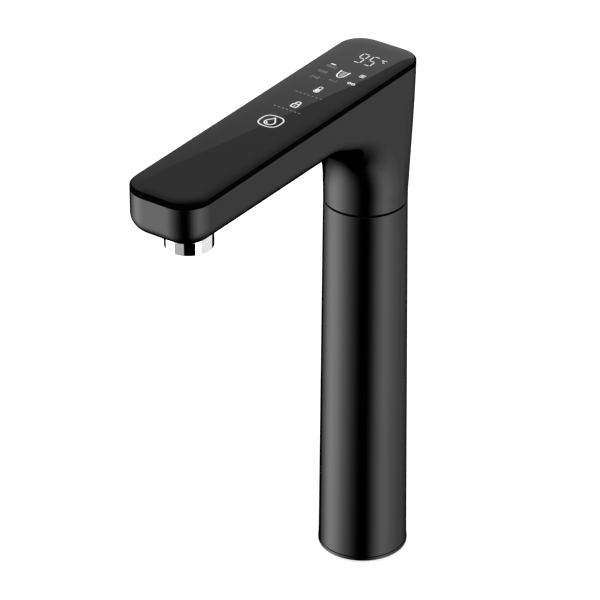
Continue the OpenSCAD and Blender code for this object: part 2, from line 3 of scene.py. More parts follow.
import bpy
import numpy as np
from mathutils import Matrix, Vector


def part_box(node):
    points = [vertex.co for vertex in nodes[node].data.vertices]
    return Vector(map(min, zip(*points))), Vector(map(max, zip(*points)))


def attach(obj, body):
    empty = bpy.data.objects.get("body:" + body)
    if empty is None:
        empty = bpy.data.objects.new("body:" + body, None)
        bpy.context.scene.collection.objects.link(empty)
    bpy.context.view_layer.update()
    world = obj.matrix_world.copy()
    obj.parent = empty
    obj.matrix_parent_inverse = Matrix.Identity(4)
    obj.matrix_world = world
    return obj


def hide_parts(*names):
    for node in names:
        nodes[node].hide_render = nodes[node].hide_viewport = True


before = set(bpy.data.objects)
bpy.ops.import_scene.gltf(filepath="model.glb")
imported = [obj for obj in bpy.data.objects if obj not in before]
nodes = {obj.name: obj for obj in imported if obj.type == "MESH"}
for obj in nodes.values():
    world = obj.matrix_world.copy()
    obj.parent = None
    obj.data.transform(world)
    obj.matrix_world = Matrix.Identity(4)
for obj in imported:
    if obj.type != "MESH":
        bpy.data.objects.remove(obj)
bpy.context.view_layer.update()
mm = 0.001
scene = bpy.context.scene
scene.view_settings.view_transform = "Standard"
print("frame loaded:", len(nodes), "nodes")


def boxOf(node):
    # lowest and highest corner of a CAD node, in millimetres
    low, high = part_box(node)
    return np.array(low) / mm, np.array(high) / mm


headLow, headHigh = boxOf("head_shell")
glassLow, glassHigh = boxOf("glass_panel")
columnLow, columnHigh = boxOf("column_tube")
ringHigh = boxOf("base_ring")[1]
collarLow, collarHigh = boxOf("aerator_collar")


# Camera: a long lens from the front right, looking down on the panel
view = {
    "azimuth": 35.432,      # degrees round the column, from the side that the arm points to
    "elevation": 30.487,    # degrees above the worktop
    "distance": 2429.4,
    "right": -35.8,         # where the picture's centre lies from the base, along the picture
    "up": 135.55,
    "lens": 253.87,
    "sensor": 36,
    "clipEnd": 50,          # metres
}
az = math.radians(view["azimuth"])
el = math.radians(view["elevation"])
toCamera = np.array([math.sin(az) * math.cos(el), -math.cos(az) * math.cos(el), math.sin(el)])
rightDir = np.array([math.cos(az), math.sin(az), 0.0])
upDir = np.cross(toCamera, rightDir)
cameraAt = (view["right"] * rightDir + view["up"] * upDir + view["distance"] * toCamera) * mm

cameraData = bpy.data.cameras.new("camera")
cameraData.lens = view["lens"]
cameraData.sensor_width = view["sensor"]
cameraData.clip_end = view["clipEnd"]
camera = bpy.data.objects.new("camera", cameraData)
scene.collection.objects.link(camera)
turn = np.eye(4)
turn[:3, 0], turn[:3, 1], turn[:3, 2], turn[:3, 3] = rightDir, upDir, toCamera, cameraAt
camera.matrix_world = turn.T
scene.camera = camera
print("camera at", np.round(cameraAt, 3))


# Meshes
def meshObject(name, points, faces, materials, sharp=30, faceMaterial=None):
    # one object at the origin from points in millimetres, smooth apart from edges over the sharp angle
    mesh = bpy.data.meshes.new(name)
    mesh.from_pydata((np.asarray(points) * mm).tolist(), [], faces)
    mesh.shade_smooth()
    mesh.set_sharp_from_angle(angle=math.radians(sharp))
    for material in materials:
        mesh.materials.append(material)
    if faceMaterial is not None:
        mesh.polygons.foreach_set("material_index", np.asarray(faceMaterial, dtype=np.int32))
    obj = bpy.data.objects.new(name, mesh)
    scene.collection.objects.link(obj)
    return obj


def gridFaces(rows, columns, closeRows=False):
    # quads of a grid whose columns always close round, and whose rows close on request
    last = rows if closeRows else rows - 1
    i = np.arange(last)[:, None]
    j = np.arange(columns)[None, :]
    a = i * columns + j
    b = i * columns + (j + 1) % columns
    c = ((i + 1) % rows) * columns + (j + 1) % columns
    d = ((i + 1) % rows) * columns + j
    return np.stack([a, b, c, d], axis=-1).reshape(-1, 4)


def lathe(name, profile, materials, segments=192, centre=(0, 0), sharp=30, second=()):
    # closed outline of radius and height, anticlockwise in that half-plane, turned once round the Z axis; the
    # rows that start at the points named as second take the second material
    profile = np.asarray(profile, dtype=float)
    a = np.arange(segments) * 2 * np.pi / segments
    x = centre[0] + profile[:, :1] * np.cos(a)
    y = centre[1] + profile[:, :1] * np.sin(a)
    z = np.repeat(profile[:, 1:], segments, axis=1)
    points = np.stack([x, y, z], axis=-1).reshape(-1, 3)
    faces = gridFaces(len(profile), segments, closeRows=True)[:, ::-1]
    rows = np.repeat(np.isin(np.arange(len(profile)), second), segments)
    return meshObject(name, points, faces.tolist(), materials, sharp, rows)


def roundedOutline(corners, radii, steps=5):
    # closed outline with each corner cut back by its radius and bent as a quadratic curve
    corners = np.asarray(corners, dtype=float)
    t = np.linspace(0, 1, steps + 1)[:, None]
    run = []
    for k, radius in enumerate(radii):
        p = corners[k]
        if radius == 0:
            run.append(p[None])
            continue
        before = corners[k - 1] - p
        after = corners[(k + 1) % len(corners)] - p
        a = p + before / np.linalg.norm(before) * radius
        b = p + after / np.linalg.norm(after) * radius
        run.append((1 - t) ** 2 * a + 2 * t * (1 - t) * p + t ** 2 * b)
    return np.concatenate(run)


def ease(t):
    t = np.clip(t, 0, 1)
    return t * t * (3 - 2 * t)


# Shader helpers
mixFirst, mixSecond, mixColour = 6, 7, 2    # sockets of a Mix node for colours
bumpDepth = 0.05 * mm


def groupSocket(tree, name, way, value=None):
    socket = tree.interface.new_socket(name=name, in_out=way, socket_type="NodeSocketFloat")
    if value is not None:
        socket.default_value = value


def makeGrainGroup():
    # fine grain on Object coordinates: a value between Low and High, and a height for bump
    tree = bpy.data.node_groups.new("fineGrain", "ShaderNodeTree")
    groupSocket(tree, "Scale", "INPUT", 900)
    groupSocket(tree, "Low", "INPUT", 0.3)
    groupSocket(tree, "High", "INPUT", 0.4)
    groupSocket(tree, "Value", "OUTPUT")
    groupSocket(tree, "Height", "OUTPUT")
    inputs = tree.nodes.new("NodeGroupInput")
    outputs = tree.nodes.new("NodeGroupOutput")
    place = tree.nodes.new("ShaderNodeTexCoord")
    fine = tree.nodes.new("ShaderNodeTexNoise")
    broad = tree.nodes.new("ShaderNodeTexNoise")
    share = tree.nodes.new("ShaderNodeMath")
    spread = tree.nodes.new("ShaderNodeMapRange")
    fine.inputs["Detail"].default_value = 3
    broad.inputs["Scale"].default_value = 22
    broad.inputs["Detail"].default_value = 2
    share.operation = "ADD"
    spread.inputs["From Min"].default_value = 0.6
    spread.inputs["From Max"].default_value = 1.4
    link = tree.links.new
    link(place.outputs["Object"], fine.inputs["Vector"])
    link(place.outputs["Object"], broad.inputs["Vector"])
    link(inputs.outputs["Scale"], fine.inputs["Scale"])
    link(fine.outputs["Fac"], share.inputs[0])
    link(broad.outputs["Fac"], share.inputs[1])
    link(share.outputs[0], spread.inputs["Value"])
    link(inputs.outputs["Low"], spread.inputs["To Min"])
    link(inputs.outputs["High"], spread.inputs["To Max"])
    link(spread.outputs["Result"], outputs.inputs["Value"])
    link(fine.outputs["Fac"], outputs.inputs["Height"])
    return tree


grainGroup = makeGrainGroup()


def grey(level):
    return level, level, level


def grainMaterial(name, dark, light, rough, scale, bump=0.0, metallic=0.0, specular=0.5):
    # a coat whose colour and roughness wander with the grain, and whose surface may be slightly uneven
    material = bpy.data.materials.new(name)
    material.use_nodes = True
    tree = material.node_tree
    shader = tree.nodes["Principled BSDF"]
    grain = tree.nodes.new("ShaderNodeGroup")
    grain.node_tree = grainGroup
    grain.inputs["Scale"].default_value = scale
    grain.inputs["Low"].default_value = rough[0]
    grain.inputs["High"].default_value = rough[1]
    tint = tree.nodes.new("ShaderNodeMix")
    tint.data_type = "RGBA"
    tint.inputs[mixFirst].default_value = (*dark, 1)
    tint.inputs[mixSecond].default_value = (*light, 1)
    tree.links.new(grain.outputs["Height"], tint.inputs[0])
    tree.links.new(tint.outputs[mixColour], shader.inputs["Base Color"])
    tree.links.new(grain.outputs["Value"], shader.inputs["Roughness"])
    shader.inputs["Metallic"].default_value = metallic
    shader.inputs["IOR"].default_value = 1.5
    shader.inputs["Specular IOR Level"].default_value = specular
    if bump:
        uneven = tree.nodes.new("ShaderNodeBump")
        uneven.inputs["Strength"].default_value = bump
        uneven.inputs["Distance"].default_value = bumpDepth
        tree.links.new(grain.outputs["Height"], uneven.inputs["Height"])
        tree.links.new(uneven.outputs["Normal"], shader.inputs["Normal"])
    return material


def glowMaterial(name, level, dimmest=0.9):
    # lit signs behind the glass: a steady glow, a little uneven over each sign
    material = grainMaterial(name, grey(0.02), grey(0.03), (0.1, 0.2), 300)
    tree = material.node_tree
    shader = tree.nodes["Principled BSDF"]
    glow = tree.nodes.new("ShaderNodeMix")
    glow.data_type = "RGBA"
    glow.inputs[mixFirst].default_value = (*grey(dimmest * level), 1)
    glow.inputs[mixSecond].default_value = (*grey(level), 1)
    grain = next(n for n in tree.nodes if n.type == "GROUP")
    tree.links.new(grain.outputs["Height"], glow.inputs[0])
    tree.links.new(glow.outputs[mixColour], shader.inputs["Emission Color"])
    shader.inputs["Emission Strength"].default_value = 1
    return material


def dullInMirrors(material, specular=0.5):
    # seen in another surface the coat mirrors nothing itself, so no second reflections show under the arm
    tree = material.node_tree
    path = tree.nodes.new("ShaderNodeLightPath")
    shine = tree.nodes.new("ShaderNodeMath")
    shine.operation = "MULTIPLY_ADD"
    shine.inputs[1].default_value = -specular
    shine.inputs[2].default_value = specular
    tree.links.new(path.outputs["Is Glossy Ray"], shine.inputs[0])
    tree.links.new(shine.outputs[0], tree.nodes["Principled BSDF"].inputs["Specular IOR Level"])


satinBlack = grainMaterial("satinBlack", grey(0.0002), grey(0.0004), (0.09, 0.11), 2600, bump=0.02)
dullInMirrors(satinBlack)
ringBlack = grainMaterial("ringBlack", grey(0.0006), grey(0.001), (0.09, 0.11), 2600, bump=0.02)
blackGlass = grainMaterial("blackGlass", (0.0006, 0.0006, 0.0007), (0.001, 0.001, 0.0011), (0.001, 0.003), 60)
# painted shade: a matt black with hardly any reflection, laid in the joints, in the gap under the glass and
# on the glass's edge
paintedShadeBlack = grainMaterial("paintedShadeBlack", grey(0.0004), grey(0.0008), (0.8, 0.9), 1500, specular=0.02)
polishedChrome = grainMaterial("polishedChrome", (0.86, 0.86, 0.87), grey(0.9), (0.001, 0.003), 400,
                               metallic=1)
turnedSteel = grainMaterial("turnedSteel", (0.5, 0.5, 0.51), (0.62, 0.62, 0.63), (0.25, 0.4), 900,
                            bump=0.1, metallic=1)
machinedBrass = grainMaterial("machinedBrass", (0.56, 0.41, 0.17), (0.66, 0.5, 0.23), (0.22, 0.36), 700,
                              bump=0.1, metallic=1)
blackRubber = grainMaterial("blackRubber", grey(0.008), grey(0.016), (0.7, 0.85), 1400, bump=0.2)
paleAcetal = grainMaterial("paleAcetal", (0.7, 0.69, 0.64), (0.8, 0.79, 0.75), (0.35, 0.5), 800, bump=0.05)
clearSilicone = grainMaterial("clearSilicone", (0.66, 0.66, 0.64), (0.76, 0.76, 0.74), (0.4, 0.5), 500)
boardGreen = grainMaterial("boardGreen", (0.015, 0.1, 0.04), (0.03, 0.17, 0.07), (0.3, 0.45), 1200)
blackPlastic = grainMaterial("blackPlastic", grey(0.01), grey(0.018), (0.45, 0.6), 1600, bump=0.1)
whiteDiffuser = grainMaterial("whiteDiffuser", grey(0.76), grey(0.84), (0.5, 0.6), 600)
greyFoam = grainMaterial("greyFoam", grey(0.06), grey(0.14), (0.85, 0.95), 1100, bump=0.4)
brightSign = glowMaterial("brightSign", 0.92)
faintSign = glowMaterial("faintSign", 0.2)
print("materials ready")


# The head: one surface from the round neck over the arm's flanks and back down inside
headForm = {
    "halfWidth": glassHigh[0],
    "tip": -glassLow[1],
    "back": glassHigh[1],
    "tipCorner": 15.8,
    "backCorner": 15,
    "neck": 23.32,
    "joint": headLow[2],
    "top": headHigh[2],
    "neckHeight": 55.7,
    "slope": 0.0099,        # rise of the underside towards the tip
    "fillet": 44,           # from the neck's front into the underside
    "edge": 10.5,
    "tipEdge": 11,
    "cornerEnd": 68,        # degrees along the fillet where the neck's round has become the arm's edge
    "cornerPow": 1.6,
    "flareStart": 4,
    "sideBlend": 6,
    "leanBow": 0.25,
    "belly": 0.35,          # how much the back's profile swells, as a share of its lean
    "seam": 0.6,            # painted shade: matt black band at the joint and, next, under the glass
    "rim": 0.45,
    "wall": 2.6,
    "floor": 6,             # thickness of the arm under its pocket
    "shelf": 2.4,           # width of the step round the pocket, and its height
    "shelfHeight": 5,
    "roomR": 18,            # room in the neck, passage below it and seat of the spigot's flange
    "roomFloor": 240,
    "passageR": 15,
    "flangeTop": 231.4,
    "flangeR": 20.5,
}


def arcRun(centre, radius, start, stop, count):
    # points of an arc with their outward normals
    a = np.radians(np.linspace(start, stop, count))
    normal = np.column_stack([np.cos(a), np.sin(a)])
    return np.array(centre) + radius * normal, normal


def flankRun(x, start, stop, count, crowding=1.7):
    # points along a straight flank, closer together near the column
    t = np.linspace(0, 1, count + 2)[1:-1] ** crowding
    points = np.column_stack([np.full(count, x), start + (stop - start) * t])
    return points, np.tile([np.sign(x), 0.0], (count, 1))


def endRun(y, start, stop, count):
    # points along a straight end
    x = np.linspace(start, stop, count + 2)[1:-1]
    return np.column_stack([x, np.full(count, y)]), np.tile([0.0, np.sign(y)], (count, 1))


def headPlan(form, corner=25, end=9, flank=90):
    # plan of the head, anticlockwise: straight flanks and ends with round corners between them
    half = form["halfWidth"]
    backR, tipR = form["backCorner"], form["tipCorner"]
    backX, backY = half - backR, form["back"] - backR
    tipX, tipY = half - tipR, tipR - form["tip"]
    runs = [
        arcRun((backX, backY), backR, 0, 90, corner),
        endRun(form["back"], backX, -backX, end),
        arcRun((-backX, backY), backR, 90, 180, corner),
        flankRun(-half, backY, tipY, flank),
        arcRun((-tipX, tipY), tipR, 180, 270, corner),
        endRun(-form["tip"], -tipX, tipX, end),
        arcRun((tipX, tipY), tipR, 270, 360, corner),
        [part[::-1] for part in flankRun(half, backY, tipY, flank)],
    ]
    return np.concatenate([r[0] for r in runs]), np.concatenate([r[1] for r in runs])


def headRings(form, plan, normal, wallSteps=6, bendSteps=36, edgeSteps=36, sideSteps=8):
    # Each plan point has a profile in the upright plane through the column axis. In front, a quarter circle
    # leads from the neck's front into the underside, and across it a round corner leads up to each flank. The
    # corner's radius is the neck's own at the quarter circle's foot and eases to the edge's under the arm.
    # Behind the axis the profile leans out from the round neck to the plan.
    half, neck, fillet, top = form["halfWidth"], form["neck"], form["fillet"], form["top"]
    hair, halvings = 0.01, 24
    bendShare, edgeShare, leastFacing = 0.72, 0.9, 0.1
    filletZ, filletY = form["joint"] + form["neckHeight"] - fillet, -neck - fillet
    flareZ = form["joint"] + form["flareStart"]
    radius = np.hypot(plan[:, 0], plan[:, 1])
    radial = plan / radius[:, None]
    front = plan[:, 1] < 0

    def reachAt(gap, angle, edge):
        corner = half + (edge - half) * ease(np.minimum(angle / form["cornerEnd"], 1) ** form["cornerPow"])
        left = np.maximum(corner - gap, 0)
        return fillet + corner - np.sqrt(np.maximum(corner ** 2 - left ** 2, 0))

    def heightAt(x, y, edge):
        # the angle along the quarter circle is found by halving the step to what its corner asks for
        r = form["tipCorner"]
        side, ahead = np.abs(x) - half + r, -y - form["tip"] + r
        gap = r - np.hypot(np.maximum(side, 0), np.maximum(ahead, 0)) - np.minimum(np.maximum(side, ahead), 0)
        gap = np.maximum(gap, 0)
        angle = np.zeros_like(x)
        for _ in range(halvings):
            share = np.clip((y - filletY) / reachAt(gap, angle, edge), 0, 1)
            angle = (angle + np.degrees(np.arccos(share))) / 2
        depth = np.sqrt(np.maximum(reachAt(gap, angle, edge) ** 2 - np.maximum(y - filletY, 0) ** 2, 0))
        return filletZ + depth + form["slope"] * np.maximum(-y - neck, 0) * ease(angle / 90)

    step = half - neck
    along = radial[:, 1] * step
    foot = np.minimum(along + np.sqrt(along ** 2 - step ** 2 + half ** 2), radius - hair)
    atTip = np.maximum(-normal[:, 1], 0) ** 2
    edge = form["edge"] * (1 - atTip) + form["tipEdge"] * atTip
    inner = np.minimum(fillet, bendShare * (radius - foot))
    facing = np.maximum((radial * normal).sum(axis=1), leastFacing)
    outer = np.minimum(edge / facing, edgeShare * (radius - foot - inner))
    t = np.arange(1, bendSteps + 1)[:, None] / bendSteps * np.pi / 2
    u = np.arange(edgeSteps + 1)[:, None] / edgeSteps * np.pi / 2
    r = np.concatenate([foot + inner * (1 - np.cos(t)), radius - outer * (1 - np.sin(u))])
    z = heightAt(r * radial[:, 0], r * radial[:, 1], np.broadcast_to(edge, r.shape))
    sideZ = heightAt(np.array([half]), np.array([-hair]), np.array([form["edge"]]))
    zBehind = filletZ + (sideZ - filletZ) * np.arange(1, len(r) + 1) / len(r)
    z = np.where(front, z, zBehind[:, None])
    wallZ = np.append(form["joint"], np.linspace(form["joint"] + form["seam"], filletZ, wallSteps))
    wallZ = np.repeat(wallZ[:, None], len(plan), axis=1)
    upZ = z[-1] + (top - form["rim"] - z[-1]) * np.arange(1, sideSteps)[:, None] / (sideSteps - 1)
    upZ = np.concatenate([upZ, np.full((1, len(plan)), top)])
    heights = np.concatenate([wallZ, z, upZ])
    lean = ease((heights - flareZ) / (filletZ - flareZ))
    wallR = neck + (foot - neck) * lean[:len(wallZ)]
    rFront = np.concatenate([wallR, r, np.broadcast_to(radius, upZ.shape)])
    climb = np.clip((heights - flareZ) / (top - flareZ), 0, 1)
    behind = ease(plan[:, 1] / form["sideBlend"])
    bowed = climb + form["leanBow"] * (ease(climb) - climb) + form["belly"] * climb * (1 - climb)
    rBehind = neck + (radius - neck) * (lean * (1 - behind) + bowed * behind)
    rings = np.where(front, rFront, rBehind)
    return np.stack([rings * radial[:, 0], rings * radial[:, 1], heights], axis=-1)


plan, planNormal = headPlan(headForm)
radialDir = plan / np.hypot(plan[:, 0], plan[:, 1])[:, None]


def planRing(inset, z):
    inset = np.broadcast_to(inset, len(plan))[:, None]
    return np.column_stack([plan - inset * planNormal, np.full(len(plan), z)])


def circleRing(radius, z):
    return np.column_stack([radialDir * radius, np.full(len(plan), z)])


def makeHead(form):
    # outer skin, rim, pocket, neck room and flange seat as one closed run of rings
    floorZ = form["joint"] + form["neckHeight"] + form["floor"]
    shelfZ = floorZ + form["shelfHeight"]
    pocket = form["wall"] + form["shelf"]
    outside = headRings(form, plan, planNormal)
    inside = np.array([
        planRing(form["wall"], form["top"]), planRing(form["wall"], shelfZ),
        planRing(pocket, shelfZ), planRing(pocket, floorZ),
        circleRing(form["roomR"], floorZ), circleRing(form["roomR"], form["roomFloor"]),
        circleRing(form["passageR"], form["roomFloor"]), circleRing(form["passageR"], form["flangeTop"]),
        circleRing(form["flangeR"], form["flangeTop"]), circleRing(form["flangeR"], form["joint"]),
    ])
    rings = np.concatenate([outside, inside])
    faces = gridFaces(len(rings), len(plan), closeRows=True)
    # the row at the joint and the row under the glass take the matt black as painted shade
    black = np.zeros((len(rings), len(plan)))
    black[[0, len(outside) - 2]] = 1
    return meshObject("headShell", rings.reshape(-1, 3), faces.tolist(), [satinBlack, paintedShadeBlack],
                      faceMaterial=black.ravel())


head = makeHead(headForm)
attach(head, "head")
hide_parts("head_shell")
print("head:", len(head.data.polygons), "faces")


# The glass: an upright edge and a bevel in matt black, painted shade of the gap round it, and a top that
# falls to the bevel as a parabola
glassForm = {
    "bevel": 0.95,
    "endBevel": 1.6,        # at the tip and the back
    "bevelFoot": 1.3,       # below the top
    "footInset": 0.6,       # chamfer round the underside
    "footRise": 0.15,
    "fall": 0.35,
    "fallWidth": 10,
    "fallSteps": 16,
    "signRoom": 0.03,       # left above the top for the signs
}


def makeGlass(form):
    top = glassHigh[2] - form["signRoom"]
    bevel = form["bevel"] + (form["endBevel"] - form["bevel"]) * planNormal[:, 1] ** 2
    share = np.linspace(0, 1, form["fallSteps"] + 1)
    edge = [planRing(form["footInset"], glassLow[2]), planRing(0, glassLow[2] + form["footRise"]),
            planRing(0, top - form["bevelFoot"])]
    crown = [planRing(bevel + (form["fallWidth"] - bevel) * t, top - form["fall"] * (1 - t) ** 2)
             for t in share]
    rings = np.array(edge + crown)
    count = len(plan)
    faces = gridFaces(len(rings), count)
    # the foot, the upright edge and the bevel take the matt black as painted shade of the gap round the glass
    side = np.repeat(np.arange(len(rings) - 1) < len(edge), count)
    ends = [list(range(count))[::-1], list(range((len(rings) - 1) * count, len(rings) * count))]
    return meshObject("glassCover", rings.reshape(-1, 3), faces.tolist() + ends, [blackGlass, paintedShadeBlack],
                      faceMaterial=np.concatenate([side, [1, 0]]))


glass = makeGlass(glassForm)
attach(glass, "head")
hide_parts("glass_panel")


# Column, trim ring and outlet collar, turned from their outlines
columnForm = {
    "swell": 0.2,           # beyond the CAD radius
    "wall": 2.5,
    "topEdge": 0.2,
    "footEdge": 0.25,
    "footSeat": 22.88,
    "footTop": 22.2,
    "bushSeat": 21,
    "bushBottom": 196,
    "paintedShadeRows": [0, 1, 2, 3, 4, 5, 12],    # foot with its edge, and top, in matt black as painted shade of the joints
}
baseR, topR = columnHigh[0] + columnForm["swell"], headForm["neck"]
z0, z1 = columnLow[2], columnHigh[2]
columnOutline = roundedOutline(
    [(columnForm["footSeat"], z0), (baseR, z0), (topR, z1), (columnForm["bushSeat"], z1),
     (columnForm["bushSeat"], columnForm["bushBottom"]),
     (topR - columnForm["wall"], columnForm["bushBottom"]),
     (baseR - columnForm["wall"], columnForm["footTop"]), (columnForm["footSeat"], columnForm["footTop"])],
    [0, columnForm["footEdge"], columnForm["topEdge"], 0, 0, 0, 0, 0])
column = lathe("columnSleeve", columnOutline, [satinBlack, paintedShadeBlack], second=columnForm["paintedShadeRows"])
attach(column, "column")
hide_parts("column_tube")

ringForm = {
    "hole": 16.43,
    "edge": 0.35,
    "footEdge": 0.15,
    "grooveIn": 19.2,
    "grooveOut": 22.6,
    "groove": 1.2,
    "paintedShadeRows": range(11, 18),             # upper edge, top and hole, in matt black as painted shade of the joint under the column
}
ringOutline = roundedOutline(
    [(ringForm["hole"], 0), (ringForm["grooveIn"], 0), (ringForm["grooveIn"], ringForm["groove"]),
     (ringForm["grooveOut"], ringForm["groove"]), (ringForm["grooveOut"], 0), (ringHigh[0], 0),
     (ringHigh[0], ringHigh[2]), (ringForm["hole"], ringHigh[2])],
    [0, 0, 0, 0, 0, ringForm["footEdge"], ringForm["edge"], 0])
ring = lathe("trimRing", ringOutline, [ringBlack, paintedShadeBlack], second=ringForm["paintedShadeRows"])
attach(ring, "column")
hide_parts("base_ring")

collarForm = {
    "swell": 0.25,          # beyond the CAD radius, and next below the CAD foot
    "drop": 0.4,
    "edge": 0.25,
    "bore": 10.5,
    "lip": 1,               # reach of the lip into the bore, and its thickness
    "lipEdge": 0.2,
    "thread": 11.9,
    "seat": 12.8,
}
collarCentre = ((collarLow + collarHigh) / 2)[:2]
collarR = (collarHigh[0] - collarLow[0]) / 2 + collarForm["swell"]
lipR = collarForm["bore"] - collarForm["lip"]
footZ = collarLow[2] - collarForm["drop"]
lipZ = footZ + collarForm["lip"]
seatZ = collarLow[2] + collarForm["seat"]
collarOutline = roundedOutline(
    [(lipR, footZ), (collarR, footZ), (collarR, seatZ), (collarForm["thread"], seatZ),
     (collarForm["thread"], collarHigh[2]), (collarForm["bore"], collarHigh[2]),
     (collarForm["bore"], lipZ), (lipR, lipZ)],
    [collarForm["lipEdge"], collarForm["edge"], 0, 0, 0, 0, 0, 0])
collar = lathe("outletCollar", collarOutline, [polishedChrome], segments=160, centre=collarCentre)
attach(collar, "head")
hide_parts("aerator_collar")
print("glass and turned pieces made")


# Signs of the panel: flat strokes just over the glass, plain digits and everyday pictograms
signForm = {
    "digitSize": (4.5, 11.3),
    "digitStroke": 0.56,
    "digitGap": 0.55,
    "readout": [("9", (-2.1, -1.5)), ("5", (4.5, -1.4))],
    "smallSize": (1.4, 2.4),
    "smallStroke": 0.32,
    "smallPitch": 1.95,
    "scale": [("1000", (-10.4, -18.7)), ("500", (-10.5, -26.1)), ("240", (-10.2, -33.8))],
    "icon": 0.75,           # stroke widths of the pictograms
    "frame": 0.72,
    "state": 0.6,
    "outline": 0.5,
    "level": 0.42,
    "degree": 0.3,
    "unitC": 0.4,
    "bar": 0.95,
    "stem": 1.3,
    "bulb": 1.1,
    "at": {                 # centres on the glass
        "degree": (8.9, 2.6), "unitC": (10.8, 1.6), "bar": (-10.5, -16), "cup": (0, -23.1),
        "lines": (10.2, -18.7), "rings": (10.1, -29), "volume": (0, -32.1), "thermometer": (-0.2, -44.5),
        "lock": (0, -66.5), "shackle": (0.1, -66.5), "drop": (0.05, -88),
    },
    "dashRows": (-52.7, -72.5),
    "dashes": np.arange(-8.6, 7.1, 2.6),
    "dashHalf": 0.7,
    "shift": (-0.2, 0.3),   # of all signs on the glass
    "sunk": 0.005,          # below the top of the CAD glass
}
segmentEnds = {
    "top": ((-1, 1), (1, 1)), "upLeft": ((-1, 0), (-1, 1)), "upRight": ((1, 0), (1, 1)),
    "middle": ((-1, 0), (1, 0)), "lowLeft": ((-1, -1), (-1, 0)), "lowRight": ((1, -1), (1, 0)),
    "bottom": ((-1, -1), (1, -1)),
}
digitSegments = {
    "0": "top upLeft upRight lowLeft lowRight bottom", "1": "upRight lowRight",
    "2": "top upRight middle lowLeft bottom", "4": "upLeft upRight middle lowRight",
    "5": "top upLeft middle lowRight bottom", "9": "top upLeft upRight middle lowRight bottom",
}


def stroke(points, width, closed=False):
    # ribbon of even width along a path: both sides stand off along the mean normal of the two neighbours
    tiny, sharpest = 1e-6, 0.5
    p = np.asarray(points, dtype=float)
    before = p - np.roll(p, 1, axis=0)
    after = np.roll(p, -1, axis=0) - p
    if not closed:
        before[0], after[-1] = after[0], before[-1]
    before /= np.linalg.norm(before, axis=1)[:, None]
    after /= np.linalg.norm(after, axis=1)[:, None]
    along = before + after
    along /= np.maximum(np.linalg.norm(along, axis=1), tiny)[:, None]
    side = np.column_stack([-along[:, 1], along[:, 0]])
    reach = width / 2 / np.maximum((along * after).sum(axis=1), sharpest)[:, None]
    count = len(p)
    i = np.arange(count if closed else count - 1)
    j = (i + 1) % count
    return np.concatenate([p + side * reach, p - side * reach]), np.column_stack([i + count, j + count, j, i])


def arcPath(centre, radius, start, stop, count):
    a = np.radians(np.linspace(start, stop, count))
    return np.array(centre) + np.column_stack([np.cos(a), np.sin(a)]) * np.array(radius)


def digit(sign, centre, size, width, gap):
    # seven straight strokes round two squares, shortened by the gap at both ends
    half = np.array(size) / 2 - width / 2
    strokes = []
    for name in digitSegments[sign].split():
        a, b = np.array(segmentEnds[name], dtype=float) * half + np.array(centre)
        cut = (b - a) / np.linalg.norm(b - a) * gap
        strokes.append(stroke([a + cut, b - cut], width))
    return strokes


def drawn(paths, name, width, closed=False):
    # strokes along paths that are given from the centre of their sign
    centre = np.array(signForm["at"][name])
    return [stroke(np.asarray(p, dtype=float) + centre, width, closed) for p in paths]


def signMesh(name, strokes, material):
    points = np.concatenate([s[0] for s in strokes])
    starts = np.cumsum([0] + [len(s[0]) for s in strokes[:-1]])
    faces = np.concatenate([s[1] + start for s, start in zip(strokes, starts)])
    height = np.full(len(points), glassHigh[2] - signForm["sunk"])
    flat = np.column_stack([points + np.array(signForm["shift"]), height])
    piece = meshObject(name, flat, faces.tolist(), [material])
    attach(piece, "head")


